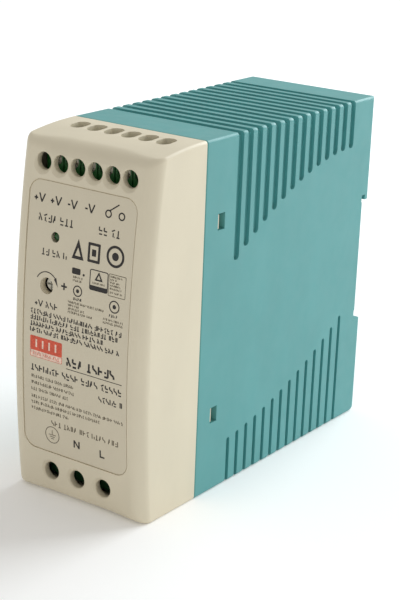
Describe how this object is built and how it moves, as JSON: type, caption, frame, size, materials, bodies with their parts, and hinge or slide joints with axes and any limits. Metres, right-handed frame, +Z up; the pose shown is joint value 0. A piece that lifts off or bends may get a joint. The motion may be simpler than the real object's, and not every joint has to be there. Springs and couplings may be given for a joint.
{
  "type": "din rail power supply",
  "caption": "Narrow plastic-cased power supply for a top-hat rail, with screw clamp terminals, a trimmer and a sprung rail latch.",
  "frame": {"origin": "centre of the rail seat, where the front of the rail's flanges rests", "axes": "+X to the right seen from the front, +Y back into the rail, +Z up"},
  "size_m": [0.04, 0.1, 0.09],
  "materials": {
    "cream_plastic": "fine matt moulded",
    "teal_plastic": "fine matt moulded",
    "label_film": "matt printed film",
    "green_plastic": "moulded, satin",
    "dark_green_plastic": "moulded, satin",
    "nickel_plate": "nickel plated",
    "plated_steel": "zinc plated",
    "tinned_copper": "tin plated",
    "spring_steel": "bright drawn wire",
    "latch_plastic": "fine matt moulded",
    "led_green": "diffused lens",
    "black_plastic": "moulded",
    "trimmer_blue": "moulded",
    "trimmer_white": "moulded",
    "board_laminate": "solder mask",
    "ferrite": "sintered",
    "copper_wire": "enamelled",
    "winding_tape": "polyester tape",
    "film_capacitor": "moulded box",
    "blue_ceramic": "dipped",
    "dark_green_ceramic": "dipped",
    "capacitor_sleeve": "shrink sleeve",
    "heatsink_aluminium": "mill finish",
    "relay_case": "moulded",
    "fuse_case": "moulded"
  },
  "bodies": {
    "housing": {"front_cover": "cream_plastic", "rear_case": "teal_plastic", "front_label": "label_film", "latch_spring": "spring_steel", "output_terminal_housing": "green_plastic", "input_terminal_housing": "dark_green_plastic", "output_terminal_tabs": "tinned_copper", "input_terminal_tabs": "tinned_copper", "status_led": "led_green", "led_spacer": "black_plastic", "trimmer_body": "trimmer_blue", "front_pcb": "board_laminate", "main_pcb": "board_laminate", "board_header": "black_plastic", "fuse": "fuse_case", "inrush_thermistor": "dark_green_ceramic", "x_capacitor": "film_capacitor", "choke_core": "ferrite", "choke_windings": "copper_wire", "y_capacitors": "blue_ceramic", "bridge_rectifier": "black_plastic", "bulk_capacitor": "capacitor_sleeve", "mosfet": "black_plastic", "mosfet_heatsink": "heatsink_aluminium", "output_diode": "black_plastic", "diode_heatsink": "heatsink_aluminium", "heatsink_screws": "plated_steel", "transformer_core": "ferrite", "transformer_bobbin": "black_plastic", "transformer_winding": "winding_tape", "output_capacitors": "capacitor_sleeve", "output_choke": "ferrite", "optocoupler": "black_plastic", "controller_ic": "black_plastic", "status_relay": "relay_case", "snubber_resistor": "blue_ceramic"},
    "latch": {"din_latch": "latch_plastic"},
    "trimmer": {"trimmer_rotor": "trimmer_white"},
    "output_screw_1": {"output_screw_1": "nickel_plate"},
    "output_cage_1": {"output_cage_1": "plated_steel"},
    "output_screw_2": {"output_screw_2": "nickel_plate"},
    "output_cage_2": {"output_cage_2": "plated_steel"},
    "output_screw_3": {"output_screw_3": "nickel_plate"},
    "output_cage_3": {"output_cage_3": "plated_steel"},
    "output_screw_4": {"output_screw_4": "nickel_plate"},
    "output_cage_4": {"output_cage_4": "plated_steel"},
    "output_screw_5": {"output_screw_5": "nickel_plate"},
    "output_cage_5": {"output_cage_5": "plated_steel"},
    "output_screw_6": {"output_screw_6": "nickel_plate"},
    "output_cage_6": {"output_cage_6": "plated_steel"},
    "input_screw_1": {"input_screw_1": "nickel_plate"},
    "input_cage_1": {"input_cage_1": "plated_steel"},
    "input_screw_2": {"input_screw_2": "nickel_plate"},
    "input_cage_2": {"input_cage_2": "plated_steel"},
    "input_screw_3": {"input_screw_3": "nickel_plate"},
    "input_cage_3": {"input_cage_3": "plated_steel"}
  },
  "joints": [
    {"name": "latch_slide", "type": "slide", "parent": "housing", "child": "latch", "axis": [0, 0, -1], "range_m": [0, 0.004], "stiffness_N_per_m": 1500, "springref_m": -0.006, "deforming": ["latch_spring"]},
    {"name": "trimmer_turn", "type": "hinge", "parent": "housing", "child": "trimmer", "pos_m": [-0.009, -0.086, 0.0088], "axis": [0, 1, 0], "range_deg": [-135, 135]},
    {"name": "output_screw_1_turn", "type": "hinge", "parent": "housing", "child": "output_screw_1", "pos_m": [-0.0127, -0.087, 0.0377], "axis": [0, 1, 0], "range_deg": [0, 2160]},
    {"name": "output_cage_1_slide", "type": "slide", "parent": "housing", "child": "output_cage_1", "axis": [0, -1, 0], "range_m": [0, 0.0027]},
    {"name": "output_screw_2_turn", "type": "hinge", "parent": "housing", "child": "output_screw_2", "pos_m": [-0.00762, -0.087, 0.0377], "axis": [0, 1, 0], "range_deg": [0, 2160]},
    {"name": "output_cage_2_slide", "type": "slide", "parent": "housing", "child": "output_cage_2", "axis": [0, -1, 0], "range_m": [0, 0.0027]},
    {"name": "output_screw_3_turn", "type": "hinge", "parent": "housing", "child": "output_screw_3", "pos_m": [-0.00254, -0.087, 0.0377], "axis": [0, 1, 0], "range_deg": [0, 2160]},
    {"name": "output_cage_3_slide", "type": "slide", "parent": "housing", "child": "output_cage_3", "axis": [0, -1, 0], "range_m": [0, 0.0027]},
    {"name": "output_screw_4_turn", "type": "hinge", "parent": "housing", "child": "output_screw_4", "pos_m": [0.00254, -0.087, 0.0377], "axis": [0, 1, 0], "range_deg": [0, 2160]},
    {"name": "output_cage_4_slide", "type": "slide", "parent": "housing", "child": "output_cage_4", "axis": [0, -1, 0], "range_m": [0, 0.0027]},
    {"name": "output_screw_5_turn", "type": "hinge", "parent": "housing", "child": "output_screw_5", "pos_m": [0.00762, -0.087, 0.0377], "axis": [0, 1, 0], "range_deg": [0, 2160]},
    {"name": "output_cage_5_slide", "type": "slide", "parent": "housing", "child": "output_cage_5", "axis": [0, -1, 0], "range_m": [0, 0.0027]},
    {"name": "output_screw_6_turn", "type": "hinge", "parent": "housing", "child": "output_screw_6", "pos_m": [0.0127, -0.087, 0.0377], "axis": [0, 1, 0], "range_deg": [0, 2160]},
    {"name": "output_cage_6_slide", "type": "slide", "parent": "housing", "child": "output_cage_6", "axis": [0, -1, 0], "range_m": [0, 0.0027]},
    {"name": "input_screw_1_turn", "type": "hinge", "parent": "housing", "child": "input_screw_1", "pos_m": [-0.008, -0.0888, -0.0387], "axis": [0, 1, 0], "range_deg": [0, 2160]},
    {"name": "input_cage_1_slide", "type": "slide", "parent": "housing", "child": "input_cage_1", "axis": [0, -1, 0], "range_m": [0, 0.003]},
    {"name": "input_screw_2_turn", "type": "hinge", "parent": "housing", "child": "input_screw_2", "pos_m": [0, -0.0888, -0.0387], "axis": [0, 1, 0], "range_deg": [0, 2160]},
    {"name": "input_cage_2_slide", "type": "slide", "parent": "housing", "child": "input_cage_2", "axis": [0, -1, 0], "range_m": [0, 0.003]},
    {"name": "input_screw_3_turn", "type": "hinge", "parent": "housing", "child": "input_screw_3", "pos_m": [0.008, -0.0888, -0.0387], "axis": [0, 1, 0], "range_deg": [0, 2160]},
    {"name": "input_cage_3_slide", "type": "slide", "parent": "housing", "child": "input_cage_3", "axis": [0, -1, 0], "range_m": [0, 0.003]}
  ],
  "couplings": [
    {"joint": "output_screw_1_turn", "follows": "output_cage_1_slide", "rad_per_m": 13963},
    {"joint": "output_screw_2_turn", "follows": "output_cage_2_slide", "rad_per_m": 13963},
    {"joint": "output_screw_3_turn", "follows": "output_cage_3_slide", "rad_per_m": 13963},
    {"joint": "output_screw_4_turn", "follows": "output_cage_4_slide", "rad_per_m": 13963},
    {"joint": "output_screw_5_turn", "follows": "output_cage_5_slide", "rad_per_m": 13963},
    {"joint": "output_screw_6_turn", "follows": "output_cage_6_slide", "rad_per_m": 13963},
    {"joint": "input_screw_1_turn", "follows": "input_cage_1_slide", "rad_per_m": 12566},
    {"joint": "input_screw_2_turn", "follows": "input_cage_2_slide", "rad_per_m": 12566},
    {"joint": "input_screw_3_turn", "follows": "input_cage_3_slide", "rad_per_m": 12566}
  ]
}
